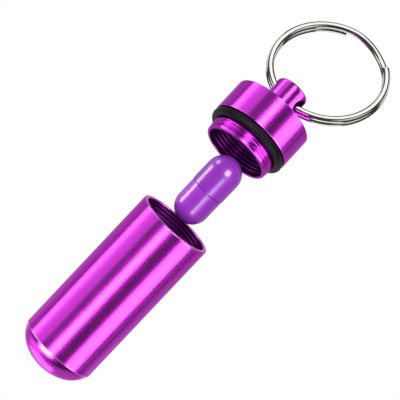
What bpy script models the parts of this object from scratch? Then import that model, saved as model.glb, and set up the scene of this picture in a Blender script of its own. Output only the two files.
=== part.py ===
"""Screw-top capsule case for a key ring, with one two-piece capsule.

The case lies along +X: its domed end at -X, its threaded mouth at +X. The origin is on the
axis, at the middle of the straight wall. The cap stands off beside the mouth, turned
towards -Y, and the capsule lies between the mouth and the cap.
"""

import math

import bmesh
import bpy
import numpy as np
from mathutils import Matrix, Vector

MM = 0.001

# Case body
case_diameter = 17.0 * MM
case_straight = 36.0 * MM
dome_height = 5.1 * MM
dome_step = 0.15 * MM
wall = 1.1 * MM
mouth_wall = 0.9 * MM
rim_round = 0.2 * MM

# Thread of the mouth and of the cap's skirt
thread_pitch = 0.8 * MM
thread_ridge = 0.24 * MM
thread_gap = 0.1 * MM
thread_land_gap = 0.15 * MM
thread_lead_in = 0.4 * MM
skirt_turns = 3
mouth_turns = 4
groove_runout_turns = 2

# Cap, from its open lip up to the knob
shell_overhang = 0.65 * MM
shell_length = 7.5 * MM
shell_round = 0.25 * MM
skirt_length = 4.75 * MM
skirt_wall = 0.35 * MM
lip_bevel = 0.25 * MM
crown_thickness = 1.3 * MM
knob_diameter = 7.4 * MM
knob_height = 6.7 * MM
knob_round = 0.7 * MM
knob_foot_groove = 0.12 * MM
ring_hole_diameter = 4.5 * MM
ring_hole_below_top = 3.1 * MM
bore_ribs = 4
bore_rib_pitch = 1.5 * MM
bore_rib_depth = 0.25 * MM
rib_half_share = 0.25

# Seal
seal_section = 1.8 * MM
seal_gap = 0.05 * MM
seal_inset = 0.05 * MM

# Split ring
wire_diameter = 1.2 * MM
split_ring_diameter = 25.9 * MM
coil_gap = 0.42 * MM
split_ring_turns = 2
points_per_turn = 24
crossing_half_deg = 24.0
end_margin_deg = 6.0
crossing_from_knob_deg = 180.0
ring_skew_deg = 11.0
ring_lean_deg = 13.0

# Capsule
capsule_length = 17.0 * MM
capsule_diameter = 7.8 * MM
capsule_wall = 0.4 * MM
capsule_step = 0.08 * MM
capsule_fit = 0.2 * MM
capsule_seam = 0.3 * MM
capsule_neck = 4.0 * MM
fill_gap = 0.3 * MM

# How the loose pieces lie beside the mouth
capsule_off_mouth = 1.25 * MM
cap_turn_deg = 31.0
cap_dip_deg = 2.3
cap_off_mouth = 18.3 * MM
cap_behind = 5.25 * MM
cap_lift = 0.6 * MM
closing_turns = 16
cap_roll_deg = 22.0

turn_steps = 48
points_per_thread_turn = 32
thread_sides_level = 1
small_steps = 24
arc_steps = 6
round_steps = 3
edge_steps = 2
seal_sides = 10
between_points = 8
turn_apart = 4
cut_overrun = 1.0 * MM
weld = 0.001 * MM

case_radius = case_diameter / 2
mouth_x = case_straight / 2
plain_bore_radius = case_radius - wall
mouth_bore_radius = case_radius - mouth_wall
thread_root_radius = mouth_bore_radius - thread_land_gap
thread_length = thread_pitch * mouth_turns
shell_radius = case_radius + shell_overhang
seal_outer_radius = shell_radius - seal_inset
seal_floor = skirt_length - seal_section - 2 * seal_gap
neck_radius = seal_outer_radius - seal_section - seal_gap
skirt_bore_radius = neck_radius - skirt_wall
knob_radius = knob_diameter / 2
shell_top = skirt_length + shell_length
cap_top = shell_top + knob_height
ring_hole_height = cap_top - ring_hole_below_top
wire_radius = wire_diameter / 2
coil_radius = split_ring_diameter / 2 - wire_radius
coil_step = wire_diameter + coil_gap
closing_travel = closing_turns * thread_pitch
capsule_radius = capsule_diameter / 2
capsule_half = capsule_length / 2


def start_scene():
    """Clear the scene and give it a collection for the parts and one for the cutters."""
    for old in list(bpy.data.objects):
        bpy.data.objects.remove(old)
    collections = []
    for name in ("capsule_case", "cutters"):
        made = bpy.data.collections.new(name)
        bpy.context.scene.collection.children.link(made)
        collections.append(made)
    return collections


parts, cutters = start_scene()


def finish(name, color, roughness, metallic):
    """A material with one Principled surface."""
    made = bpy.data.materials.new(name)
    made.use_nodes = True
    surface = made.node_tree.nodes["Principled BSDF"]
    surface.inputs["Base Color"].default_value = (*color, 1.0)
    surface.inputs["Roughness"].default_value = roughness
    surface.inputs["Metallic"].default_value = metallic
    return made


def empty(name, matrix, parent=None):
    """An empty at a joint or a piece's frame."""
    made = bpy.data.objects.new(name, None)
    parts.objects.link(made)
    made.parent = parent
    made.matrix_world = matrix
    return made


def place(made, parent, material):
    """Put a piece in its parent's frame and give it its material and smooth shading."""
    made.parent = parent
    made.data.materials.clear()
    made.data.materials.append(material)
    made.data.shade_smooth()
    return made


def turned(name, profile, steps, collection):
    """A closed turned piece about its own Z. The profile holds (radius, height) points."""
    mesh = bpy.data.meshes.new(name)
    points = [(radius, 0.0, height) for radius, height in profile]
    mesh.from_pydata(points, [(i, i + 1) for i in range(len(points) - 1)], [])
    made = bpy.data.objects.new(name, mesh)
    collection.objects.link(made)
    screw = made.modifiers.new("turn", "SCREW")
    screw.axis = "Z"
    screw.angle = math.tau
    screw.steps = steps
    screw.render_steps = steps
    screw.use_merge_vertices = True
    screw.merge_threshold = weld
    return made


def arc(center, radii, start_deg, end_deg, steps):
    """Points of an ellipse's arc about a (radius, height) centre."""
    angles = np.radians(np.linspace(start_deg, end_deg, steps + 1))
    return [(center[0] + radii[0] * math.cos(a), center[1] + radii[1] * math.sin(a)) for a in angles]


def on_axis(points):
    """The same points, with the last or first one exactly on the turning axis."""
    return [(0.0 if abs(radius) < weld else radius, height) for radius, height in points]


def wire(name, points, radius, resolution):
    """A closed round wire through the points, as a mesh with welded caps."""
    curve = bpy.data.curves.new(name, "CURVE")
    curve.dimensions = "3D"
    curve.bevel_depth = radius
    curve.bevel_resolution = resolution
    curve.use_fill_caps = True
    spline = curve.splines.new("POLY")
    spline.points.add(len(points) - 1)
    for slot, point in zip(spline.points, points):
        slot.co = (*point, 1.0)
    guide = bpy.data.objects.new(name + "_guide", curve)
    bpy.context.scene.collection.objects.link(guide)
    evaluated = guide.evaluated_get(bpy.context.evaluated_depsgraph_get())
    mesh = bpy.data.meshes.new_from_object(evaluated)
    bpy.data.objects.remove(guide)
    work = bmesh.new()
    work.from_mesh(mesh)
    bmesh.ops.remove_doubles(work, verts=work.verts, dist=weld)
    work.to_mesh(mesh)
    work.free()
    return bpy.data.objects.new(name, mesh)


def helix(radius, first_height, turns):
    """Points of a right-hand thread's helix about Z."""
    count = points_per_thread_turn * turns
    angles = [math.tau * i / points_per_thread_turn for i in range(count + 1)]
    return [
        (radius * math.cos(a), radius * math.sin(a), first_height + thread_pitch * a / math.tau)
        for a in angles
    ]


def cutter(made, parent):
    """Keep a cutting shape out of the render and in the frame of the piece it cuts."""
    made.hide_render = True
    made.display_type = "WIRE"
    made.parent = parent
    return made


def combine(piece, tool, operation):
    """Cut a piece with a tool, or join the two."""
    step = piece.modifiers.new(tool.name, "BOOLEAN")
    step.operation = operation
    step.solver = "EXACT"
    step.object = tool


def case_frame():
    """The case's own frame: its Z runs out of the mouth, along +X."""
    return empty("case_axis", Matrix.Rotation(math.radians(90.0), 4, "Y"))


def case_body(frame, metal):
    """One drawn tube with a domed end and a fine thread inside its mouth.

    The groove meets the cap's ridge when the cap is home, so its start follows the cap's roll.
    """
    dome_radius = case_radius - dome_step
    inner_dome = dome_height - wall
    outer = [(case_radius, mouth_x - rim_round), (case_radius, -mouth_x)]
    dome = arc((0.0, -mouth_x), (dome_radius, dome_height), 0.0, -90.0, 2 * arc_steps)
    bowl = arc((0.0, -mouth_x), (plain_bore_radius, inner_dome), -90.0, 0.0, arc_steps)
    throat = mouth_x - thread_length - thread_pitch
    bore = [
        (plain_bore_radius, throat),
        (mouth_bore_radius, throat + mouth_bore_radius - plain_bore_radius),
        (mouth_bore_radius, mouth_x - rim_round),
        (mouth_bore_radius + rim_round, mouth_x),
        (case_radius - rim_round, mouth_x),
    ]
    body = turned("case_body", on_axis(bowl + bore + outer + dome), turn_steps, parts)
    meet_share = 1.0 + (180.0 - cap_roll_deg) / 360.0
    groove_start = mouth_x - seal_floor + thread_lead_in - thread_pitch * meet_share
    groove = wire(
        "mouth_thread_cutter",
        helix(thread_root_radius, groove_start, mouth_turns + groove_runout_turns),
        thread_ridge + thread_gap,
        thread_sides_level,
    )
    cutters.objects.link(groove)
    cutter(groove, frame)
    combine(body, groove, "DIFFERENCE")
    return place(body, frame, metal)


def shut_place():
    """Where the lip's middle stands, on the case's axis, before the cap travels home.

    The shut cap's lip lies inside the mouth as deep as the seal's floor lies above the lip.
    """
    return Vector((mouth_x - seal_floor + closing_travel, 0.0, 0.0))


def rest_place():
    """Where the lip's middle stands at rest, and the way from it towards the knob."""
    turn = math.radians(cap_turn_deg)
    dip = math.radians(cap_dip_deg)
    out = Vector((math.cos(turn) * math.cos(dip), math.sin(turn) * math.cos(dip), -math.sin(dip)))
    return Vector((mouth_x + cap_off_mouth, cap_behind, cap_lift)), out


def swing_place():
    """A point and direction of the axis about which the cap swings into line, and its angle.

    One turn about this axis takes the resting cap onto the case's axis, in front of the mouth.
    """
    start = shut_place()
    home = Vector((1.0, 0.0, 0.0))
    rest, out = rest_place()
    chord = rest - start
    axis = chord.cross(home - out).normalized()
    if axis.z < 0.0:
        axis.negate()
    flat_home = home - home.dot(axis) * axis
    flat_out = out - out.dot(axis) * axis
    angle = flat_home.angle(flat_out)
    reach = chord.length / 2 / math.tan(angle / 2)
    return (start + rest) / 2 + axis.cross(chord).normalized() * reach, axis, angle


def swing_frame():
    """The swing's frame: Z along its axis, and X square to the case's own upright."""
    place, axis, _angle = swing_place()
    first = Vector((0.0, 1.0, 0.0)).cross(axis).normalized()
    matrix = Matrix((first, axis.cross(first), axis)).transposed().to_4x4()
    matrix.translation = place
    return empty("swing_axis", matrix)


def cap_frame():
    """The cap's frame at rest: origin at the middle of the lip, Z towards the knob."""
    turn = math.radians(cap_turn_deg)
    roll = math.radians(cap_roll_deg)
    place, out = rest_place()
    behind = Vector((-math.sin(turn), math.cos(turn), 0.0))
    hole = math.cos(roll) * out.cross(behind) + math.sin(roll) * behind
    side = out.cross(hole)
    matrix = Matrix((hole, side, out)).transposed().to_4x4()
    matrix.translation = place
    return empty("cap_axis", matrix)


def cap(frame, metal):
    """Cap turned from one bar: knob, shell, seal groove, threaded skirt and ribbed bore."""
    knob_corner = (knob_radius - knob_round, cap_top - knob_round)
    knob = [(0.0, cap_top)] + arc(knob_corner, (knob_round, knob_round), 90.0, 0.0, round_steps)
    foot = [
        (knob_radius, shell_top + knob_foot_groove),
        (knob_radius + knob_foot_groove, shell_top),
    ]
    shell_corner = (shell_radius - shell_round, shell_top - shell_round)
    shell = arc(shell_corner, (shell_round, shell_round), 90.0, 0.0, edge_steps)
    shell.append((shell_radius, skirt_length + rim_round))
    shell.append((shell_radius - rim_round, skirt_length))
    skirt = [
        (neck_radius, skirt_length),
        (neck_radius, seal_floor),
        (thread_root_radius, seal_floor - (thread_root_radius - neck_radius)),
        (thread_root_radius, rim_round),
        (thread_root_radius - rim_round, 0.0),
        (skirt_bore_radius + lip_bevel, 0.0),
        (skirt_bore_radius, lip_bevel),
    ]
    ribs = []
    for i in range(bore_ribs):
        height = skirt_length + bore_rib_pitch * i
        half = bore_rib_pitch * rib_half_share
        ribs.append((skirt_bore_radius, height - half))
        ribs.append((skirt_bore_radius + bore_rib_depth, height))
        ribs.append((skirt_bore_radius, height + half))
    ceiling = shell_top - crown_thickness
    top = [
        (skirt_bore_radius, ceiling - bore_rib_depth),
        (skirt_bore_radius - bore_rib_depth, ceiling),
        (0.0, ceiling),
    ]
    made = turned("cap", knob + foot + shell + skirt + ribs + top, turn_steps, parts)
    ridge = wire(
        "skirt_thread",
        helix(thread_root_radius, thread_lead_in, skirt_turns),
        thread_ridge,
        thread_sides_level,
    )
    cutters.objects.link(ridge)
    cutter(ridge, frame)
    combine(made, ridge, "UNION")
    bpy.ops.mesh.primitive_cylinder_add(
        vertices=small_steps,
        radius=ring_hole_diameter / 2,
        depth=knob_diameter + 2 * cut_overrun,
    )
    hole = bpy.context.object
    hole.name = "ring_hole_cutter"
    for holder in list(hole.users_collection):
        holder.objects.unlink(hole)
    cutters.objects.link(hole)
    cutter(hole, frame)
    hole.location = (0.0, 0.0, ring_hole_height)
    hole.rotation_euler = (0.0, math.radians(90.0), 0.0)
    combine(made, hole, "DIFFERENCE")
    return place(made, frame, metal)


def o_ring(frame, rubber):
    """Rubber seal in the groove between the cap's shell and its thread."""
    bpy.ops.mesh.primitive_torus_add(
        major_radius=seal_outer_radius - seal_section / 2,
        minor_radius=seal_section / 2,
        major_segments=turn_steps,
        minor_segments=seal_sides,
    )
    made = bpy.context.object
    made.name = "o_ring"
    for holder in list(made.users_collection):
        holder.objects.unlink(made)
    parts.objects.link(made)
    made.location = (0.0, 0.0, skirt_length - seal_gap - seal_section / 2)
    return place(made, frame, rubber)


def ring_frame(frame):
    """The ring's frame: X on the knob's cross hole, Z straight out of the knob."""
    lean = Matrix.Rotation(math.radians(ring_lean_deg), 4, "X")
    hole = Matrix.Translation((0.0, 0.0, ring_hole_height))
    return empty("ring_axis", frame.matrix_world @ hole @ lean, frame)


def split_ring_points():
    """Two turns of wire side by side, crossing over between the ring's two ends."""
    half_cross = math.radians(crossing_half_deg)
    start = half_cross + math.radians(end_margin_deg)
    end = math.tau * split_ring_turns - start
    count = points_per_turn * split_ring_turns
    points = []
    for i in range(count + 1):
        angle = start + (end - start) * i / count
        along = (angle - math.pi * split_ring_turns) / half_cross
        share = max(-1.0, min(1.0, along))
        side = coil_step / 2 * math.sin(share * math.pi / 2)
        points.append((coil_radius * math.cos(angle), side, coil_radius * math.sin(angle)))
    return points


def least_gap(points):
    """The smallest clear gap between stretches of the wire that lie a turn apart."""
    dense = []
    for first, second in zip(points[:-1], points[1:]):
        start = np.array(first)
        move = np.array(second) - start
        dense += [start + move * k / between_points for k in range(between_points)]
    dense.append(np.array(points[-1]))
    dense = np.array(dense)
    step = np.linalg.norm(dense[1] - dense[0])
    apart = int(math.ceil(turn_apart * wire_diameter / step))
    least = min(
        np.linalg.norm(dense[i + apart :] - dense[i], axis=1).min() for i in range(len(dense) - apart)
    )
    return least - wire_diameter


def split_ring(frame, steel):
    """Steel ring of two coils, hung in the knob's cross hole."""
    points = split_ring_points()
    print(f"split ring: least gap to itself {least_gap(points) / MM:.3f} mm")
    skew = math.radians(ring_skew_deg)
    sag = knob_radius**2 / (4 * coil_radius)
    out = coil_radius - sag
    turn = Matrix.Rotation(math.radians(90.0 - ring_skew_deg - crossing_from_knob_deg), 4, "Y")
    shift = Matrix.Translation((-out * math.sin(skew), 0.0, out * math.cos(skew)))
    made = wire("split_ring", points, wire_radius, 1)
    parts.objects.link(made)
    made.data.transform(shift @ turn)
    return place(made, frame, steel)


def capsule_frame():
    """The capsule's frame: origin at its seam, Z towards the cap."""
    seam = Matrix.Translation((mouth_x + capsule_off_mouth + capsule_half, 0.0, 0.0))
    return empty("capsule_axis", seam @ Matrix.Rotation(math.radians(90.0), 4, "Y"))


def capsule_upper_half(frame, shell):
    """The capsule's wider half: a thin shell with a round end, open at the seam."""
    center = capsule_half - capsule_radius
    inner = capsule_radius - capsule_wall
    outside = arc((0.0, center), (capsule_radius, capsule_radius), 90.0, 0.0, arc_steps)
    inside = arc((0.0, center), (inner, inner), 0.0, 90.0, arc_steps)
    edge = [(capsule_radius, capsule_seam / 2), (inner, capsule_seam / 2)]
    made = turned("capsule_upper_half", on_axis(outside + edge + inside), small_steps, parts)
    return place(made, frame, shell)


def capsule_lower_half(frame, shell):
    """The capsule's narrower half, whose neck slips into the wider half."""
    center = capsule_radius - capsule_half
    outer = capsule_radius - capsule_step
    neck = capsule_radius - capsule_wall - capsule_fit
    inner = neck - capsule_wall
    bowl = arc((0.0, center), (inner, inner + (outer - neck)), -90.0, 0.0, arc_steps)
    dome = arc((0.0, center), (outer, capsule_radius), 0.0, -90.0, arc_steps)
    wall_up = [
        (inner, capsule_neck),
        (neck, capsule_neck),
        (neck, -capsule_seam / 2),
        (outer, -capsule_seam / 2),
    ]
    made = turned("capsule_lower_half", on_axis(bowl + wall_up + dome), small_steps, parts)
    return place(made, frame, shell)


def capsule_fill(frame, powder):
    """The dose inside the capsule: a packed slug in the lower half."""
    center = capsule_radius - capsule_half
    radius = capsule_radius - 2 * capsule_wall - capsule_fit - fill_gap
    bottom = arc((0.0, center), (radius, radius), 0.0, -90.0, arc_steps)
    top = capsule_neck - fill_gap
    made = turned("capsule_fill", on_axis([(0.0, top), (radius, top)] + bottom), small_steps, parts)
    return place(made, frame, powder)


def build():
    """Make every piece in its place."""
    magenta = finish("anodised_magenta", (0.52, 0.02, 0.56), 0.2, 1.0)
    cap_magenta = finish("anodised_magenta_cap", (0.52, 0.02, 0.56), 0.2, 1.0)
    rubber = finish("black_rubber", (0.015, 0.015, 0.016), 0.45, 0.0)
    steel = finish("bright_nickel", (0.72, 0.71, 0.69), 0.12, 1.0)
    violet = finish("violet_shell_upper", (0.27, 0.05, 0.52), 0.15, 0.0)
    violet_low = finish("violet_shell_lower", (0.27, 0.05, 0.52), 0.15, 0.0)
    powder = finish("white_powder", (0.85, 0.83, 0.8), 0.9, 0.0)
    axis = case_frame()
    case_body(axis, magenta)
    swing_frame()
    lid = cap_frame()
    cap(lid, cap_magenta)
    o_ring(lid, rubber)
    split_ring(ring_frame(lid), steel)
    dose = capsule_frame()
    capsule_upper_half(dose, violet)
    capsule_lower_half(dose, violet_low)
    capsule_fill(dose, powder)


build()
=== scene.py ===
import math

import bmesh
import bpy
from mathutils import Matrix, Vector


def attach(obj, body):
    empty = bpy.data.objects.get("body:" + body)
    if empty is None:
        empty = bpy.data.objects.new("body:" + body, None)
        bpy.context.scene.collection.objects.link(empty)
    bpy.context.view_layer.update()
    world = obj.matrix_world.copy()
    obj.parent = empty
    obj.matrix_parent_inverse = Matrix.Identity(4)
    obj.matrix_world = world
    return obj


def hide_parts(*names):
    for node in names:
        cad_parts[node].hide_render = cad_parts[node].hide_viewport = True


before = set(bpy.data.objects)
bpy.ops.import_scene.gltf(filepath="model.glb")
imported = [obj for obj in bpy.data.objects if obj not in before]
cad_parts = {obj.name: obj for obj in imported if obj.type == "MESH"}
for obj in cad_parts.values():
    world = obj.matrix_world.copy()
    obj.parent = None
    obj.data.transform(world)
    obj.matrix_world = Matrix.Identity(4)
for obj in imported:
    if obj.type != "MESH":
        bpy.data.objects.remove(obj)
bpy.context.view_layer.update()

MM = 0.001

# The camera looks a little down on the mouth end of the fob, from far off, as a long product
# lens does. It is rolled so that the tube climbs from the lower left to the upper right.
look_at = Vector((25.08, 0.0, -0.24)) * MM
turn = math.radians(11.3)
height = math.radians(5.58)
roll = math.radians(47.76)
camera_distance = 1.5
photo_pixels = 400.0
pixels_per_mm = 4.88
photo_width = photo_pixels / pixels_per_mm * MM
sensor_width = 36.0

level_right = Vector((math.cos(turn), math.sin(turn), 0.0))
to_camera = Vector(
    (math.sin(turn) * math.cos(height), -math.cos(turn) * math.cos(height), math.sin(height))
)
level_up = to_camera.cross(level_right)
photo_right = level_right * math.cos(roll) - level_up * math.sin(roll)
photo_up = level_right * math.sin(roll) + level_up * math.cos(roll)

camera_data = bpy.data.cameras.new("product_camera")
camera_data.sensor_width = sensor_width
camera_data.lens = sensor_width * camera_distance / photo_width
camera_data.clip_start = 0.1
camera_data.clip_end = 20.0
camera = bpy.data.objects.new("product_camera", camera_data)
bpy.context.scene.collection.objects.link(camera)
camera_place = Matrix((photo_right, photo_up, to_camera)).transposed().to_4x4()
camera_place.translation = look_at + to_camera * camera_distance
camera.matrix_world = camera_place
bpy.context.scene.camera = camera
bpy.context.scene.view_settings.view_transform = "Standard"

# The tube: one piece of aluminium drawn deep and thin, its closed end pressed to a shallow dome,
# its mouth cut with a fine thread inside. It is polished and dyed magenta in the anodising bath.
tube_radius = 8.5 * MM
tube_wall = 1.1 * MM
tube_bore = 7.4 * MM
mouth_bore = 7.6 * MM
half_length = 18.0 * MM
dome_radius = 8.36 * MM
dome_height = 5.1 * MM
dome_sink = 0.85 * MM
seam_bevel = 0.13 * MM
rim_round = 0.18 * MM
throat = 14.0 * MM
throat_slope = 0.2 * MM
thread_pitch = 0.8 * MM
tube_thread_low = throat + 0.3 * MM
tube_thread_depth = 0.19 * MM
tube_row_step = 0.05 * MM
row_margin = 0.02 * MM
on_axis = 1e-7
around = 192
rim_wear = 1.0
seam_wear = 4.0
magenta_dye = (0.5, 0.027, 0.54)
magenta_smear = (0.54, 0.033, 0.58)
bare_corner = (0.86, 0.42, 0.86)
# Painted shade: the near-black colour given to the rows inside a bore, standing in for the shade deep in it.
unlit_bore = (0.065, 0.001, 0.08)
rings_per_mm = 6.0
corner_wear_amount = 0.2
polish_roughness = (0.2, 0.25)
bore_rougher = 0.16
film_weight = 0.35
bore_film_loss = 0.3
tube_frame = Matrix.Rotation(math.radians(90.0), 4, "Y")


def arc(center, reach, start_deg, end_deg, steps, wear=0.0):
    """Points of an arc as (radius, level, wear). Two reaches make it an ellipse's arc."""
    wide, high = reach if isinstance(reach, tuple) else (reach, reach)
    points = []
    for i in range(steps + 1):
        angle = math.radians(start_deg + (end_deg - start_deg) * i / steps)
        radius = center[0] + wide * math.cos(angle)
        level = center[1] + high * math.sin(angle)
        points.append((radius, level, wear))
    return points


def rows(radius, start, end, step):
    """Close rows on a straight wall, for a thread or ribs to be cut from."""
    count = max(2, round(abs(end - start) / step))
    return [(radius, start + (end - start) * i / count) for i in range(count + 1)]


def turned(name, profile, steps, looped=False, inside=(0, -1)):
    """A piece turned about its own Z from a profile that runs from pole to pole, or round a loop.

    A point of the profile is a radius, a level and, where handling wears it, how much. The
    first and the last point given as inside bound the rows that lie in the dark of a bore.
    """
    mesh = bpy.data.meshes.new(name)
    work = bmesh.new()
    wear_layer = work.verts.layers.float.new("edge")
    inside_layer = work.verts.layers.float.new("inside")
    rings = []
    for row, (radius, level, *wear) in enumerate(profile):
        if radius < on_axis:
            ring = [work.verts.new((0.0, 0.0, level))]
        else:
            ring = []
            for i in range(steps):
                angle = math.tau * i / steps
                ring.append(work.verts.new((radius * math.cos(angle), radius * math.sin(angle), level)))
        for vert in ring:
            vert[wear_layer] = wear[0] if wear else 0.0
            vert[inside_layer] = 1.0 if inside[0] <= row <= inside[1] else 0.0
        rings.append(ring)
    pairs = list(zip(rings[:-1], rings[1:]))
    if looped:
        pairs.append((rings[-1], rings[0]))
    for low, high in pairs:
        for i in range(steps):
            k = (i + 1) % steps
            corners = [low[i % len(low)], low[k % len(low)], high[k % len(high)], high[i % len(high)]]
            unique = list(dict.fromkeys(corners))
            if len(unique) > 2:
                work.faces.new(unique)
    bmesh.ops.recalc_face_normals(work, faces=work.faces)
    work.to_mesh(mesh)
    work.free()
    made = bpy.data.objects.new(name, mesh)
    bpy.context.scene.collection.objects.link(made)
    return made


def baked(made):
    """The piece with its modifiers turned into plain mesh."""
    evaluated = made.evaluated_get(bpy.context.evaluated_depsgraph_get())
    mesh = bpy.data.meshes.new_from_object(evaluated)
    made.modifiers.clear()
    made.data = mesh
    return made


def smooth_but_sharp(made, degrees):
    """Smooth shading, with the corners that are steeper than the angle left crisp."""
    for face in made.data.polygons:
        face.use_smooth = True
    made.data.set_sharp_from_angle(angle=math.radians(degrees))


def feed(tree, slot, value):
    """Link a socket to a node's slot, or set the slot to a number or a colour."""
    if isinstance(value, bpy.types.NodeSocket):
        tree.links.new(value, slot)
    else:
        slot.default_value = value


def calc(tree, operation, *values):
    """One Math node with numbers or sockets fed to it in order."""
    node = tree.nodes.new("ShaderNodeMath")
    node.operation = operation
    for slot, value in zip(node.inputs, values):
        feed(tree, slot, value)
    return node.outputs[0]


def vector(tree, *parts):
    """A vector put together from its parts, in order."""
    node = tree.nodes.new("ShaderNodeCombineXYZ")
    for slot, part in zip(node.inputs, parts):
        feed(tree, slot, part)
    return node.outputs[0]


def clamped(tree, value):
    """The value, held between 0 and 1."""
    node = tree.nodes.new("ShaderNodeClamp")
    tree.links.new(value, node.inputs["Value"])
    return node.outputs[0]


def from_axis(tree, place):
    """A place's three coordinates, and its distance from the piece's own Z axis."""
    split = tree.nodes.new("ShaderNodeSeparateXYZ")
    tree.links.new(place, split.inputs[0])
    x, y, z = split.outputs
    squares = calc(tree, "ADD", calc(tree, "MULTIPLY", x, x), calc(tree, "MULTIPLY", y, y))
    return x, y, z, calc(tree, "SQRT", squares)


def new_tree(kind, name, inputs, outputs):
    """A tree with named sockets of the given types, and the sockets of its two end nodes."""
    tree = bpy.data.node_groups.new(name, kind)
    for label, sort in inputs.items():
        tree.interface.new_socket(label, in_out="INPUT", socket_type="NodeSocket" + sort)
    for label, sort in outputs.items():
        tree.interface.new_socket(label, in_out="OUTPUT", socket_type="NodeSocket" + sort)
    return tree, tree.nodes.new("NodeGroupInput").outputs, tree.nodes.new("NodeGroupOutput").inputs


def end_tree(tree, shape, material, result):
    """Real mesh at the end of a geometry tree, with its material on it."""
    real = tree.nodes.new("GeometryNodeRealizeInstances")
    paint = tree.nodes.new("GeometryNodeSetMaterial")
    paint.inputs["Material"].default_value = material
    tree.links.new(shape, real.inputs[0])
    tree.links.new(real.outputs[0], paint.inputs["Geometry"])
    tree.links.new(paint.outputs[0], result[0])


def thread_tree(material):
    """Cuts a thread or plain ribs into close rows of a turned wall, by moving them outwards."""
    sizes = ("Pitch", "Depth", "Lead", "Phase", "From", "To", "Fade", "Least radius", "Most radius")
    inputs = {"Piece": "Geometry", **dict.fromkeys(sizes, "Float")}
    tree, given, result = new_tree("GeometryNodeTree", "cut_thread", inputs, {"Piece": "Geometry"})
    place = tree.nodes.new("GeometryNodeInputPosition")
    x, y, z, radius = from_axis(tree, place.outputs[0])
    turns = calc(tree, "DIVIDE", calc(tree, "ARCTAN2", y, x), math.tau)
    turns = calc(tree, "MULTIPLY", turns, given["Lead"])
    climb = calc(tree, "SUBTRACT", calc(tree, "DIVIDE", z, given["Pitch"]), turns)
    climb = calc(tree, "ADD", climb, given["Phase"])
    wave = calc(tree, "MULTIPLY", calc(tree, "PINGPONG", climb, 0.5), 2.0)
    crest = tree.nodes.new("ShaderNodeMapRange")
    crest.interpolation_type = "SMOOTHSTEP"
    crest.inputs["From Min"].default_value = 0.06
    crest.inputs["From Max"].default_value = 0.94
    tree.links.new(wave, crest.inputs["Value"])

    def ramp(value, low, high):
        """0 below low, 1 above high."""
        past = calc(tree, "SUBTRACT", value, low)
        return clamped(tree, calc(tree, "DIVIDE", past, calc(tree, "SUBTRACT", high, low)))

    begin = ramp(z, given["From"], calc(tree, "ADD", given["From"], given["Fade"]))
    below = calc(tree, "MULTIPLY", z, -1.0)
    top = calc(tree, "MULTIPLY", given["To"], -1.0)
    end = ramp(below, top, calc(tree, "SUBTRACT", given["Fade"], given["To"]))
    here = calc(tree, "MULTIPLY", begin, end)
    here = calc(tree, "MULTIPLY", here, calc(tree, "GREATER_THAN", radius, given["Least radius"]))
    here = calc(tree, "MULTIPLY", here, calc(tree, "LESS_THAN", radius, given["Most radius"]))
    move = calc(tree, "MULTIPLY", calc(tree, "MULTIPLY", crest.outputs[0], here), given["Depth"])
    outward = vector(tree, calc(tree, "DIVIDE", x, radius), calc(tree, "DIVIDE", y, radius))
    scaled = tree.nodes.new("ShaderNodeVectorMath")
    scaled.operation = "SCALE"
    tree.links.new(outward, scaled.inputs[0])
    tree.links.new(move, scaled.inputs["Scale"])
    shift = tree.nodes.new("GeometryNodeSetPosition")
    tree.links.new(given["Piece"], shift.inputs["Geometry"])
    tree.links.new(scaled.outputs[0], shift.inputs["Offset"])
    end_tree(tree, shift.outputs[0], material, result)
    return tree


def shaped(made, tree, sizes):
    """The piece run through a geometry tree with the named sizes, and kept as plain mesh."""
    step = made.modifiers.new(tree.name, "NODES")
    step.node_group = tree
    for item in tree.interface.items_tree:
        if item.in_out == "INPUT" and item.name in sizes:
            step[item.identifier] = sizes[item.name]
    return baked(made)


def cut_thread(made, tree, radius, low, high, **sizes):
    """Cut a thread or ribs into the rows that stand at one radius between two levels."""
    sizes.update({"From": low, "To": high})
    sizes.update({"Least radius": radius - row_margin, "Most radius": radius + row_margin})
    return shaped(made, tree, sizes)


def new_material(name):
    """A fresh material, with its node tree and its main shader."""
    made = bpy.data.materials.new(name)
    made.use_nodes = True
    return made, made.node_tree, made.node_tree.nodes["Principled BSDF"]


def own_coordinates(tree, place):
    """The piece's own coordinates, with Z along its axis, from the object's."""
    coordinates = tree.nodes.new("ShaderNodeTexCoord")
    mapping = tree.nodes.new("ShaderNodeMapping")
    back = place.inverted()
    mapping.inputs["Location"].default_value = back.to_translation()
    mapping.inputs["Rotation"].default_value = back.to_euler()
    tree.links.new(coordinates.outputs["Object"], mapping.inputs["Vector"])
    return mapping.outputs[0]


def noise(tree, place, scale, detail=2.0, dimensions="3D"):
    """Soft random patches from 0 to 1, so many to a metre."""
    node = tree.nodes.new("ShaderNodeTexNoise")
    node.noise_dimensions = dimensions
    node.inputs["Scale"].default_value = scale
    node.inputs["Detail"].default_value = detail
    tree.links.new(place, node.inputs["Vector"])
    return node.outputs["Fac"]


def attribute(tree, name):
    """A value that the mesh carries on its points."""
    node = tree.nodes.new("ShaderNodeAttribute")
    node.attribute_name = name
    return node.outputs["Fac"]


def colour_mix(tree, share, first, second):
    """The first colour turning to the second as the share goes from 0 to 1."""
    node = tree.nodes.new("ShaderNodeMix")
    node.data_type = "RGBA"
    tree.links.new(share, node.inputs["Factor"])
    for slot, colour in (("A", first), ("B", second)):
        feed(tree, node.inputs[slot], (*colour, 1.0) if isinstance(colour, tuple) else colour)
    return node.outputs["Result"]


def spread(tree, share, low, high):
    """A value that goes from low to high as the share goes from 0 to 1."""
    node = tree.nodes.new("ShaderNodeMapRange")
    node.inputs["To Min"].default_value = low
    node.inputs["To Max"].default_value = high
    tree.links.new(share, node.inputs["Value"])
    return node.outputs[0]


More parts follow.
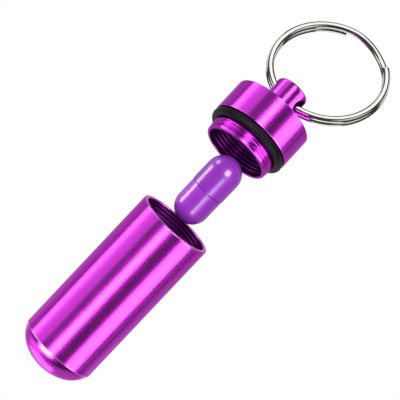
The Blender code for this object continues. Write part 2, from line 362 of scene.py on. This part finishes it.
def relief(tree, surface, height, strength, depth):
    """Fine relief on a surface, felt by its reflections only."""
    bump = tree.nodes.new("ShaderNodeBump")
    bump.inputs["Strength"].default_value = strength
    bump.inputs["Distance"].default_value = depth
    tree.links.new(height, bump.inputs["Height"])
    tree.links.new(bump.outputs[0], surface.inputs["Normal"])


def turning_group():
    """Fine rings that a lathe tool and the polish leave round a turned piece."""
    inputs = {"Vector": "Vector", "Rings per mm": "Float"}
    outputs = {"Height": "Float", "Smear": "Float"}
    tree, given, result = new_tree("ShaderNodeTree", "turning_marks", inputs, outputs)
    _, _, z, radius = from_axis(tree, given["Vector"])
    per_metre = calc(tree, "MULTIPLY", given["Rings per mm"], 1.0 / MM)
    along = vector(tree, calc(tree, "MULTIPLY", radius, per_metre), calc(tree, "MULTIPLY", z, per_metre))
    tree.links.new(noise(tree, along, scale=1.0, dimensions="2D"), result["Height"])
    tree.links.new(noise(tree, given["Vector"], scale=220.0, detail=4.0), result["Smear"])
    return tree


def wear_group():
    """Bare metal showing through the dye on corners, broken up as handling leaves it."""
    inputs = {"Vector": "Vector", "Amount": "Float"}
    tree, given, result = new_tree("ShaderNodeTree", "corner_wear", inputs, {"Mask": "Float"})
    lot = calc(tree, "MULTIPLY", attribute(tree, "edge"), given["Amount"])
    patches = noise(tree, given["Vector"], scale=900.0, detail=6.0)
    uneven = calc(tree, "ADD", calc(tree, "MULTIPLY", patches, 1.3), -0.15)
    tree.links.new(clamped(tree, calc(tree, "MULTIPLY", lot, uneven)), result["Mask"])
    return tree


turning_marks = turning_group()
corner_wear = wear_group()


def effect(tree, group, own, name, value):
    """A shared effect placed in a material with its one value, on the piece's own coordinates."""
    node = tree.nodes.new("ShaderNodeGroup")
    node.node_tree = group
    node.inputs[name].default_value = value
    tree.links.new(own, node.inputs["Vector"])
    return node.outputs


def anodised(name, place):
    """Polished aluminium dyed magenta, with fine turning marks, pale corners and shade painted dark into its
    bore.
    """
    made, tree, surface = new_material(name)
    surface.inputs["Metallic"].default_value = 1.0
    surface.inputs["Specular Tint"].default_value = (0.95, 0.4, 0.95, 1.0)
    surface.inputs["Coat IOR"].default_value = 1.4
    surface.inputs["Coat Roughness"].default_value = 0.2
    own = own_coordinates(tree, place)
    marks = effect(tree, turning_marks, own, "Rings per mm", rings_per_mm)
    wear = effect(tree, corner_wear, own, "Amount", corner_wear_amount)
    hidden = attribute(tree, "inside")
    dye = colour_mix(tree, marks["Smear"], magenta_dye, magenta_smear)
    worn = colour_mix(tree, wear["Mask"], dye, bare_corner)
    # Painted shade: rows marked as inside a bore take the near-black colour instead of the dye.
    tree.links.new(colour_mix(tree, hidden, worn, unlit_bore), surface.inputs["Base Color"])
    polished = spread(tree, marks["Smear"], *polish_roughness)
    as_drawn = calc(tree, "MULTIPLY", hidden, bore_rougher)
    tree.links.new(calc(tree, "ADD", polished, as_drawn), surface.inputs["Roughness"])
    film = calc(tree, "SUBTRACT", film_weight, calc(tree, "MULTIPLY", hidden, bore_film_loss))
    tree.links.new(film, surface.inputs["Coat Weight"])
    relief(tree, surface, marks["Height"], strength=0.1, depth=0.001 * MM)
    return made


tube_metal = anodised("anodised_tube", tube_frame)
tube_thread = thread_tree(tube_metal)

rim_level = half_length - rim_round
profile = arc((0.0, -half_length), (tube_bore, dome_height - tube_wall), -90.0, 0.0, 18)
profile += [(tube_bore, throat), (mouth_bore, throat + throat_slope)]
profile += rows(mouth_bore, throat + throat_slope + tube_row_step, rim_level, tube_row_step)
tube_inside = (0, len(profile) - 2)
profile += arc((mouth_bore + rim_round, rim_level), rim_round, 170.0, 90.0, 4, rim_wear)
profile += arc((tube_radius - rim_round, rim_level), rim_round, 90.0, 0.0, 5, rim_wear)
profile += [(tube_radius, half_length - 2 * rim_round), (tube_radius, -half_length + 2 * seam_bevel)]
profile += [(tube_radius, -half_length + seam_bevel, seam_wear)]
profile += [(tube_radius - seam_bevel, -half_length, seam_wear)]
crease = math.asin(dome_sink / (dome_height + dome_sink))
dome_reach = (dome_radius / math.cos(crease), dome_height + dome_sink)
profile += arc((0.0, dome_sink - half_length), dome_reach, -math.degrees(crease) - 1.0, -90.0, 40)
tube = turned("tube_shell", profile, around, inside=tube_inside)
tube = cut_thread(
    tube,
    tube_thread,
    mouth_bore,
    tube_thread_low,
    rim_level,
    Pitch=thread_pitch,
    Depth=tube_thread_depth,
    Lead=1.0,
    Phase=0.05,
    Fade=0.1 * MM,
)
tube.data.transform(tube_frame)
smooth_but_sharp(tube, 32.0)
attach(tube, "case")
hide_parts("case_body")

# The cap: knob, shell, seal groove and threaded skirt turned from one bar, its bore left with
# coarse tool ribs and its knob drilled across for the ring. It is dyed in the same bath.
turn_from_tube = math.radians(31.0)
cap_dip = math.radians(2.3)
cap_roll = math.radians(22.0)
cap_mouth = Vector((36.3, 5.25, 0.6)) * MM
knob_radius = 3.7 * MM
knob_top = 18.95 * MM
knob_round = 0.75 * MM
knob_flat = 1.2 * MM
knob_step = 0.6 * MM
foot_round = 0.2 * MM
shell_radius = 9.15 * MM
shell_top = 12.25 * MM
shell_low = 4.75 * MM
shell_edge = 0.12 * MM
crown_round = 0.25 * MM
crown_flat = 0.6 * MM
wall_margin = 0.35 * MM
crisp_margin = 0.1 * MM
neck_radius = 7.25 * MM
groove_floor = 2.85 * MM
groove_slope = 0.16 * MM
skirt_radius = 7.35 * MM
skirt_top = groove_floor - 0.25 * MM
skirt_bevel = 0.06 * MM
lip_radius = 7.58 * MM
lip_high = 0.75 * MM
lip_round = 0.4 * MM
lip_bevel = 0.04 * MM
cap_row_step = 0.04 * MM
cap_thread_low = lip_high + 0.05 * MM
cap_thread_depth = 0.34 * MM
cap_thread_phase = 0.55
skirt_bore = 6.9 * MM
bore_lip = 0.1 * MM
bore_ceiling = 10.95 * MM
bore_corner = 0.3 * MM
rib_pitch = 0.85 * MM
rib_depth = 0.16 * MM
rib_margin = 0.4 * MM
rib_row_step = 0.1 * MM
ring_hole_radius = 2.25 * MM
ring_hole_height = 15.85 * MM
drill_half = 5.0 * MM
drill_around = 96
touched_wear = 0.15
edge_wear = 0.3
handled_wear = 0.5

level_out = Vector((math.cos(turn_from_tube), math.sin(turn_from_tube), 0.0))
cap_out = level_out * math.cos(cap_dip) - Vector((0.0, 0.0, math.sin(cap_dip)))
cap_behind = Vector((-math.sin(turn_from_tube), math.cos(turn_from_tube), 0.0))
hole_line = math.cos(cap_roll) * cap_out.cross(cap_behind) + math.sin(cap_roll) * cap_behind
cap_frame = Matrix((hole_line, cap_out.cross(hole_line), cap_out)).transposed().to_4x4()
cap_frame.translation = cap_mouth

cap_metal = anodised("anodised_cap", cap_frame)
cap_thread = thread_tree(cap_metal)

profile = [(0.0, knob_top), (knob_flat, knob_top)]
profile += arc((knob_radius - knob_round, knob_top - knob_round), knob_round, 90.0, 0.0, 10, touched_wear)
profile += rows(knob_radius, knob_top - knob_round - crisp_margin, shell_top + wall_margin, knob_step)
profile += [(knob_radius, shell_top + foot_round, handled_wear)]
profile += [(knob_radius + foot_round / 4, shell_top + foot_round / 4)]
profile += [(knob_radius + foot_round, shell_top), (shell_radius - crown_flat, shell_top)]
profile += arc((shell_radius - crown_round, shell_top - crown_round), crown_round, 90.0, 0.0, 6, edge_wear)
profile += [(shell_radius, shell_top - 2 * crown_round), (shell_radius, shell_low + wall_margin)]
profile += arc((shell_radius - shell_edge, shell_low + shell_edge), shell_edge, 0.0, -90.0, 4, rim_wear)
profile += [(neck_radius + crisp_margin, shell_low), (neck_radius, shell_low - crisp_margin)]
profile += [(neck_radius, groove_floor)]
profile += [(skirt_radius - skirt_bevel, groove_floor - groove_slope, edge_wear)]
profile += rows(skirt_radius, skirt_top, lip_high + skirt_bevel, cap_row_step)
profile += [(lip_radius - lip_bevel, lip_high, edge_wear), (lip_radius, lip_high - skirt_bevel, edge_wear)]
profile += arc((lip_radius - lip_round, lip_round), lip_round, 0.0, -90.0, 10, touched_wear)
profile += arc((skirt_bore + bore_lip, bore_lip), bore_lip, -90.0, -180.0, 5, handled_wear)
bore_start = len(profile)
profile += rows(skirt_bore, 2 * bore_lip, bore_ceiling - bore_corner, rib_row_step)
profile += arc((skirt_bore - bore_corner, bore_ceiling - bore_corner), bore_corner, 0.0, 90.0, 4)
profile += [(0.0, bore_ceiling)]
cap = turned("cap_turned", profile, around, inside=(bore_start, len(profile) - 1))
cap = cut_thread(
    cap,
    cap_thread,
    skirt_radius,
    cap_thread_low,
    skirt_top,
    Pitch=thread_pitch,
    Depth=cap_thread_depth,
    Lead=1.0,
    Phase=cap_thread_phase,
    Fade=0.12 * MM,
)
cap = cut_thread(
    cap,
    cap_thread,
    skirt_bore,
    rib_margin,
    bore_ceiling - rib_margin,
    Pitch=rib_pitch,
    Depth=rib_depth,
    Lead=0.0,
    Phase=0.2,
    Fade=rib_margin,
)
drill_side = [(ring_hole_radius, -drill_half), (ring_hole_radius, drill_half)]
drill = turned("cross_drill", [(0.0, -drill_half), *drill_side, (0.0, drill_half)], drill_around)
drill.data.transform(Matrix.Translation((0.0, 0.0, ring_hole_height)) @ tube_frame)
cross_hole = cap.modifiers.new("cross_hole", "BOOLEAN")
cross_hole.operation = "DIFFERENCE"
cross_hole.solver = "EXACT"
cross_hole.object = drill
cap = baked(cap)
bpy.data.objects.remove(drill)
cap.data.transform(cap_frame)
smooth_but_sharp(cap, 30.0)
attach(cap, "lid")
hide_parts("cap")

# The seal: a moulded ring of black rubber with the fine parting line of its mould, stretched
# over the skirt into the groove under the shell.
seal_radius = 0.9 * MM
seal_middle = 8.2 * MM
seal_height = 3.8 * MM
mould_flash = 0.02 * MM
seal_steps = 36
rubber_black = (0.006, 0.006, 0.007)
rubber_bloom = (0.022, 0.021, 0.023)
rubber_roughness = (0.34, 0.5)


def dress(tree, surface, share, colours, roughness):
    """Colour and roughness that drift together over a surface, from one end to the other."""
    tree.links.new(colour_mix(tree, share, *colours), surface.inputs["Base Color"])
    tree.links.new(spread(tree, share, *roughness), surface.inputs["Roughness"])


rubber, tree, surface = new_material("seal_rubber")
own = own_coordinates(tree, cap_frame)
bloom = noise(tree, own, scale=700.0, detail=5.0)
dress(tree, surface, bloom, (rubber_black, rubber_bloom), rubber_roughness)
relief(tree, surface, noise(tree, own, scale=4200.0), strength=0.2, depth=0.01 * MM)

profile = []
for i in range(seal_steps):
    angle = math.tau * i / seal_steps
    reach = seal_radius + (mould_flash if i % (seal_steps // 2) == 0 else 0.0)
    profile.append((seal_middle + reach * math.cos(angle), seal_height + reach * math.sin(angle)))
seal = turned("rubber_seal", profile, around, looped=True)
seal.data.transform(cap_frame)
seal.data.materials.append(rubber)
smooth_but_sharp(seal, 60.0)
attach(seal, "seal")
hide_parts("o_ring")

# The split ring: flat-sided spring steel wire wound twice, the coils lying on each other and
# stepping over once opposite the knob, then nickel plated bright. It hangs in the cross hole.
ring_outer = 12.93 * MM
wire_wide = 1.5 * MM
wire_high = 1.15 * MM
wire_corner = 0.55 * MM
coil_touch = 1.17 * MM
cross_half = math.radians(24.0)
end_margin = math.radians(6.0)
ring_skew = math.radians(11.0)
ring_lean = math.radians(13.0)
cad_coil_radius = 12.35 * MM
quarter_turn = math.radians(90.0)
nickel_bright = (0.78, 0.77, 0.75)
nickel_warm = (0.66, 0.63, 0.58)
nickel_roughness = (0.05, 0.16)

nickel, tree, surface = new_material("bright_nickel")
surface.inputs["Metallic"].default_value = 1.0
place = tree.nodes.new("ShaderNodeTexCoord").outputs["Object"]
haze = noise(tree, place, scale=600.0, detail=5.0)
dress(tree, surface, haze, (nickel_bright, nickel_warm), nickel_roughness)
relief(tree, surface, noise(tree, place, scale=2500.0), strength=0.15, depth=0.004 * MM)


def coil_tree(material):
    """Winds a flat-sided wire into two touching coils that step over half way round."""
    sizes = ("Coil radius", "Wire width", "Wire height", "Corner", "Coil step", "Start", "End", "Cross half")
    inputs = dict.fromkeys(sizes, "Float")
    tree, given, result = new_tree("GeometryNodeTree", "wind_split_ring", inputs, {"Ring": "Geometry"})
    line = tree.nodes.new("GeometryNodeCurvePrimitiveLine")
    dense = tree.nodes.new("GeometryNodeResampleCurve")
    dense.inputs["Count"].default_value = 420
    tree.links.new(line.outputs[0], dense.inputs["Curve"])
    spline = tree.nodes.new("GeometryNodeSplineParameter")
    sweep = calc(tree, "SUBTRACT", given["End"], given["Start"])
    swept = calc(tree, "MULTIPLY", spline.outputs["Factor"], sweep)
    angle = calc(tree, "ADD", given["Start"], swept)
    along = calc(tree, "DIVIDE", calc(tree, "SUBTRACT", angle, math.tau), given["Cross half"])
    share = calc(tree, "MAXIMUM", calc(tree, "MINIMUM", along, 1.0), -1.0)
    side = calc(tree, "SINE", calc(tree, "MULTIPLY", share, math.pi / 2))
    side = calc(tree, "MULTIPLY", side, calc(tree, "MULTIPLY", given["Coil step"], 0.5))
    across = calc(tree, "MULTIPLY", calc(tree, "COSINE", angle), given["Coil radius"])
    up = calc(tree, "MULTIPLY", calc(tree, "SINE", angle), given["Coil radius"])
    wound = tree.nodes.new("GeometryNodeSetPosition")
    tree.links.new(dense.outputs[0], wound.inputs["Geometry"])
    tree.links.new(vector(tree, across, up, side), wound.inputs["Position"])
    upright = tree.nodes.new("GeometryNodeSetCurveNormal")
    upright.mode = "Z_UP"
    tree.links.new(wound.outputs[0], upright.inputs["Curve"])
    section = tree.nodes.new("GeometryNodeCurvePrimitiveQuadrilateral")
    tree.links.new(given["Wire width"], section.inputs["Width"])
    tree.links.new(given["Wire height"], section.inputs["Height"])
    soften = tree.nodes.new("GeometryNodeFilletCurve")
    soften.mode = "POLY"
    soften.inputs["Count"].default_value = 6
    tree.links.new(section.outputs[0], soften.inputs["Curve"])
    tree.links.new(given["Corner"], soften.inputs["Radius"])
    sweep_wire = tree.nodes.new("GeometryNodeCurveToMesh")
    sweep_wire.inputs["Fill Caps"].default_value = True
    tree.links.new(upright.outputs[0], sweep_wire.inputs["Curve"])
    tree.links.new(soften.outputs[0], sweep_wire.inputs["Profile Curve"])
    end_tree(tree, sweep_wire.outputs[0], material, result)
    return tree


ring = bpy.data.objects.new("split_ring_wire", bpy.data.meshes.new("split_ring_wire"))
bpy.context.scene.collection.objects.link(ring)
ring_sizes = {
    "Coil radius": ring_outer - wire_wide / 2,
    "Wire width": wire_wide,
    "Wire height": wire_high,
    "Corner": wire_corner,
    "Coil step": coil_touch,
    "Start": cross_half + end_margin,
    "End": 2 * math.tau - cross_half - end_margin,
    "Cross half": cross_half,
}
ring = shaped(ring, coil_tree(nickel), ring_sizes)
ring_out = cad_coil_radius - knob_radius**2 / (4 * cad_coil_radius)
hang = (
    cap_frame
    @ Matrix.Translation((0.0, 0.0, ring_hole_height))
    @ Matrix.Rotation(ring_lean, 4, "X")
    @ Matrix.Translation((-ring_out * math.sin(ring_skew), 0.0, ring_out * math.cos(ring_skew)))
    @ Matrix.Rotation(-quarter_turn - ring_skew, 4, "Y")
    @ Matrix.Rotation(quarter_turn, 4, "X")
)
ring.data.transform(hang)
work = bmesh.new()
work.from_mesh(ring.data)
bmesh.ops.remove_doubles(work, verts=work.verts, dist=1e-7)
bmesh.ops.recalc_face_normals(work, faces=work.faces)
work.to_mesh(ring.data)
work.free()
smooth_but_sharp(ring, 40.0)
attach(ring, "key_ring")
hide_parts("split_ring")

# The capsule's wider half: a thin shell of violet gelatine with one round end, dipped on a pin.
# It slips over the narrower half's neck, and its rim shows as a fine step round the middle.
capsule_radius = 3.9 * MM
capsule_half = 8.5 * MM
shell_wall = 0.4 * MM
upper_wall_margin = 0.2 * MM
upper_wall_foot = 0.15 * MM
upper_rim_round = 0.11 * MM
upper_rim_level = 0.12 * MM
inner_bevel = 0.03 * MM
inner_rim_level = 0.02 * MM
inner_wall_foot = 0.06 * MM
capsule_row_step = 0.8 * MM
capsule_around = 128
violet_deep = (0.215, 0.02, 0.37)
violet_light = (0.27, 0.034, 0.43)
violet_roughness = (0.3, 0.36)
capsule_frame = Matrix.Translation((27.75 * MM, 0.0, 0.0)) @ tube_frame


def violet_shell(name):
    """Glossy dipped shell: violet dye, faintly uneven, under a clear skin."""
    made, tree, surface = new_material(name)
    surface.inputs["IOR"].default_value = 1.75
    surface.inputs["Specular Tint"].default_value = (0.8, 0.42, 1.0, 1.0)
    surface.inputs["Coat Weight"].default_value = 0.7
    surface.inputs["Coat Roughness"].default_value = 0.09
    own = own_coordinates(tree, capsule_frame)
    cloud = noise(tree, own, scale=260.0, detail=3.0)
    dress(tree, surface, cloud, (violet_deep, violet_light), violet_roughness)
    relief(tree, surface, noise(tree, own, scale=420.0), strength=0.05, depth=0.01 * MM)
    return made


round_center = capsule_half - capsule_radius
inner = capsule_radius - shell_wall
profile = arc((0.0, round_center), capsule_radius, 90.0, 0.0, 40)
profile += rows(capsule_radius, round_center - upper_wall_margin, upper_wall_foot, capsule_row_step)
profile += arc((capsule_radius - upper_rim_round, upper_rim_level), upper_rim_round, 0.0, -90.0, 6)
profile += [(inner + inner_bevel, inner_rim_level), (inner, inner_wall_foot)]
profile += arc((0.0, round_center), inner, 0.0, 90.0, 24)
upper = turned("capsule_wide_half", profile, capsule_around)
upper.data.transform(capsule_frame)
upper.data.materials.append(violet_shell("violet_shell_upper"))
smooth_but_sharp(upper, 40.0)
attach(upper, "capsule_upper")
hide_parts("capsule_upper_half")

# The capsule's narrower half: a shell dipped from the same violet gelatine, with a slim neck that
# the wider half slips over. Its shoulder stops just short of the wider half's rim, as a fine seam.
lower_radius = 3.8 * MM
neck_outside = 3.3 * MM
neck_top = 4.0 * MM
neck_edge = 0.05 * MM
neck_foot = -0.08 * MM
hollow_deeper = 0.3 * MM
shoulder_round = 0.12 * MM
shoulder_level = -0.22 * MM
shoulder_inset = 0.14 * MM
shoulder_top = -0.1 * MM
lower_wall_top = -0.4 * MM
lower_wall_margin = 0.1 * MM

neck_inside = neck_outside - shell_wall
profile = arc((0.0, -round_center), (neck_inside, neck_inside + hollow_deeper), -90.0, 0.0, 24)
profile += [(neck_inside, neck_top - neck_edge), (neck_inside + neck_edge, neck_top)]
profile += [(neck_outside - neck_edge, neck_top), (neck_outside, neck_top - neck_edge)]
profile += [(neck_outside, 0.0), (neck_outside, neck_foot)]
profile += [(lower_radius - shoulder_inset, shoulder_top)]
profile += arc((lower_radius - shoulder_round, shoulder_level), shoulder_round, 90.0, 0.0, 6)
profile += rows(lower_radius, lower_wall_top, -round_center + lower_wall_margin, capsule_row_step)
profile += arc((0.0, -round_center), (lower_radius, capsule_radius), 0.0, -90.0, 40)
lower = turned("capsule_narrow_half", profile, capsule_around)
lower.data.transform(capsule_frame)
lower.data.materials.append(violet_shell("violet_shell_lower"))
smooth_but_sharp(lower, 40.0)
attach(lower, "capsule_lower")
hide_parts("capsule_lower_half")

# The dose: white powder tamped into the narrower half as one slug, which is only seen when the
# capsule's halves are pulled apart.
dose_radius = 2.6 * MM
dose_top = 3.7 * MM
dose_edge = 0.2 * MM
dose_flat = 0.3 * MM
dose_crown = 0.05 * MM
dose_around = 96
powder_shade = (0.72, 0.69, 0.64)
powder_white = (0.9, 0.89, 0.86)

powder, tree, surface = new_material("packed_powder")
surface.inputs["Roughness"].default_value = 0.9
grain = noise(tree, own_coordinates(tree, capsule_frame), scale=3500.0, detail=6.0)
tree.links.new(colour_mix(tree, grain, powder_shade, powder_white), surface.inputs["Base Color"])
relief(tree, surface, grain, strength=0.8, depth=0.06 * MM)

profile = [(0.0, dose_top), (dose_radius - dose_flat, dose_top - dose_crown)]
profile += arc((dose_radius - dose_edge, dose_top - dose_crown - dose_edge), dose_edge, 80.0, 0.0, 4)
profile += arc((0.0, -round_center), dose_radius, 0.0, -90.0, 16)
dose = turned("packed_dose", profile, dose_around)
dose.data.transform(capsule_frame)
dose.data.materials.append(powder)
smooth_but_sharp(dose, 50.0)
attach(dose, "capsule_lower")
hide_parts("capsule_fill")

# The floor: a wide pale board below the ring's lowest swing. It is so bright to the lens that it
# has no edge, and it throws no light or shade on the fob.
floor_level = -32.0 * MM
floor_half = 3.0


def seen_by_lens(tree, shader, shown):
    """One shader for light and reflections, and another for what the lens sees directly."""
    ray = tree.nodes.new("ShaderNodeLightPath")
    choose = tree.nodes.new("ShaderNodeMixShader")
    tree.links.new(ray.outputs["Is Camera Ray"], choose.inputs[0])
    tree.links.new(shader.outputs[0], choose.inputs[1])
    tree.links.new(shown.outputs[0], choose.inputs[2])
    return choose.outputs[0]


floor_mesh = bpy.data.meshes.new("pale_floor")
floor_corners = [(-floor_half, -floor_half), (floor_half, -floor_half)]
floor_corners += [(floor_half, floor_half), (-floor_half, floor_half)]
floor_mesh.from_pydata([(x, y, floor_level) for x, y in floor_corners], [], [(0, 1, 2, 3)])
floor = bpy.data.objects.new("pale_floor", floor_mesh)
bpy.context.scene.collection.objects.link(floor)
pale, tree, surface = new_material("pale_board")
surface.inputs["Base Color"].default_value = (0.5, 0.5, 0.5, 1.0)
surface.inputs["Roughness"].default_value = 0.9
glow = tree.nodes.new("ShaderNodeEmission")
tree.links.new(seen_by_lens(tree, surface, glow), tree.nodes["Material Output"].inputs["Surface"])
floor_mesh.materials.append(pale)
floor.visible_diffuse = False
floor.visible_glossy = False
floor.visible_transmission = False
floor.visible_shadow = False

# The studio: a dark tent, in which each piece has its own soft lights. Long strips hang beside the
# turned pieces, at set angles round their axes, and draw the bright and dim lines along them.
tent_grey = 0.05
light_distance = 0.6

world = bpy.data.worlds.new("studio_tent")
bpy.context.scene.world = world
world.use_nodes = True
tree = world.node_tree
tree.nodes.clear()
tent_light = tree.nodes.new("ShaderNodeBackground")
tent_light.inputs["Color"].default_value = (tent_grey, tent_grey, tent_grey, 1.0)
white = tree.nodes.new("ShaderNodeBackground")
white.inputs["Color"].default_value = (1.0, 1.0, 1.0, 1.0)
output = tree.nodes.new("ShaderNodeOutputWorld")
tree.links.new(seen_by_lens(tree, tent_light, white), output.inputs["Surface"])


def lit_only(name, *pieces):
    """A group of pieces that a light may reach."""
    group = bpy.data.collections.new(name)
    for piece in pieces:
        group.objects.link(piece)
    return group


def soft_light(name, group, middle, toward, along, wide_deg, ends_deg, brightness):
    """A flat soft light that faces a piece, reaching from one angle to another along a line."""
    low, high = [light_distance * math.tan(math.radians(end)) for end in ends_deg]
    data = bpy.data.lights.new(name, "AREA")
    data.shape = "RECTANGLE"
    data.size = 2 * light_distance * math.tan(math.radians(wide_deg) / 2)
    data.size_y = high - low
    data.energy = brightness * math.pi * data.size * data.size_y
    lamp = bpy.data.objects.new(name, data)
    bpy.context.scene.collection.objects.link(lamp)
    face = toward.normalized()
    side = along.cross(face).normalized()
    lengthwise = face.cross(side)
    place = Matrix((side, lengthwise, face)).transposed().to_4x4()
    place.translation = middle + face * light_distance + lengthwise * (low + high) / 2
    lamp.matrix_world = place
    lamp.visible_camera = False
    lamp.light_linking.receiver_collection = group


def aimed(axis, round_deg, lean_deg=0.0):
    """A way out from an axis, turned round it from the camera's side and leant along it."""
    across = (to_camera - to_camera.dot(axis) * axis).normalized()
    upward = across.cross(axis)
    if upward.z < 0:
        upward = -upward
    outward = across * math.cos(math.radians(round_deg)) + upward * math.sin(math.radians(round_deg))
    return outward * math.cos(math.radians(lean_deg)) + axis * math.sin(math.radians(lean_deg))


def strips(name, group, axis, middle, table, ends_deg=(-63, 63)):
    """Long strips round an axis. Each row is where one starts and ends round it, and how bright."""
    for i, (start, end, brightness) in enumerate(table):
        toward = aimed(axis, (start + end) / 2)
        soft_light(f"{name}_{i}", group, middle, toward, axis, end - start, ends_deg, brightness)


def spots(name, group, middle, table):
    """Short lights round the tube's axis. Each row is turn, lean, width, ends and brightness."""
    for i, (round_deg, lean_deg, wide_deg, ends_deg, brightness) in enumerate(table):
        toward = aimed(tube_axis, round_deg, lean_deg)
        soft_light(f"{name}_{i}", group, middle, toward, tube_axis, wide_deg, ends_deg, brightness)


# Lights on the tube: its strips, one lamp into its mouth, and four on its dome.
tube_axis = Vector((1.0, 0.0, 0.0))
origin = Vector((0.0, 0.0, 0.0))
tube_group = lit_only("lit_tube", tube)
tube_strips = (
    (-2, 16, 8.5), (26, 42, 0.08), (44, 64, 1.0), (64, 79, 1.25), (80, 97, 5.0), (110, 180, 0.5),
    (180, 250, 0.5), (-103, -94, 0.5), (-82, -47, 5.6), (174, 186, 0.3),
)
strips("tube", tube_group, tube_axis, origin, tube_strips, (-26, 63))
soft_light("bore", tube_group, origin, aimed(tube_axis, -22, 25), tube_axis, 18, (-12, 12), 14.0)
dome_lamps = (
    (27, -44, 40, (-13, 9), 24.0), (62, -61, 70, (-8, 8), 1.1),
    (180, -58, 110, (-42, 42), 0.6), (165, -66, 34, (-16, 16), 3.0),
)
spots("dome", tube_group, Vector((-half_length, 0.0, 0.0)), dome_lamps)

# Lights on the cap: nearly the same strips about its own axis, and one lamp into its mouth.
cap_group = lit_only("lit_cap", cap)
cap_strips = (
    (-4, 10, 10.0), (26, 42, 0.18), (44, 64, 1.0), (64, 79, 1.1), (80, 97, 5.0), (110, 180, 0.5),
    (180, 250, 0.5), (-103, -94, 0.5), (-82, -46, 5.2),
)
strips("cap", cap_group, cap_out, cap_mouth, cap_strips)
soft_light("cap_mouth", cap_group, cap_mouth, aimed(cap_out, -20, -62), cap_out, 40, (-14, 14), 5.0)

# Lights on the capsule: dim strips for both halves, a bright one for each, and three small lamps.
capsule_group = lit_only("lit_capsule", upper, lower, dose)
capsule_middle = capsule_frame.translation
capsule_strips = ((-50, -17, 1.25), (100, 150, 0.4), (150, 180, 0.1), (180, 250, 0.3))
strips("capsule", capsule_group, tube_axis, capsule_middle, capsule_strips)
strips("upper", lit_only("lit_upper", upper), tube_axis, capsule_middle, ((76, 100, 7.5),), (-63, -3))
strips("lower", lit_only("lit_lower", lower), tube_axis, capsule_middle, ((73, 93, 10.0),), (-22, 63))
capsule_lamps = (
    (-22, 33, 30, (-17, 15), 11.0), (-27, -20, 20, (-10, 10), 5.0), (88, 26, 24, (-11, 9), 6.0),
)
spots("spot", capsule_group, capsule_middle, capsule_lamps)

# Lights on the seal: dim strips, and two short ones that draw the gloss along the rubber.
seal_group = lit_only("lit_seal", seal)
strips("seal", seal_group, cap_out, cap_mouth, ((-60, 10, 0.3), (10, 80, 0.3), (110, 250, 0.3)))
strips("seal_gloss", seal_group, cap_out, cap_mouth, ((14, 36, 2.0), (-84, -62, 2.0)), (-56, -22))

# Lights on the ring: square lamps set about the way in which its flat coils mirror the camera.
# Each row is how far to the side, how far up, how wide and how bright.
ring_group = lit_only("lit_ring", ring)
ring_face = hang.to_3x3() @ Vector((0.0, 0.0, 1.0))
if ring_face.dot(to_camera) < 0:
    ring_face = -ring_face
mirrored = 2 * ring_face.dot(to_camera) * ring_face - to_camera
beside = mirrored.cross(photo_up).normalized()
above = beside.cross(mirrored)
ring_lamps = (
    (0, 0, 34, 1.3), (75, 20, 34, 1.3), (-80, -10, 38, 1.0),
    (20, 75, 40, 1.1), (-15, -75, 44, 0.8), (180, 0, 60, 1.2),
)
for i, (side_deg, lift_deg, wide_deg, brightness) in enumerate(ring_lamps):
    lift = math.radians(lift_deg)
    level = mirrored * math.cos(math.radians(side_deg)) + beside * math.sin(math.radians(side_deg))
    toward = level * math.cos(lift) + above * math.sin(lift)
    ends_deg = (-wide_deg / 2, wide_deg / 2)
    soft_light(f"ring_{i}", ring_group, hang.translation, toward, cap_behind, wide_deg, ends_deg, brightness)
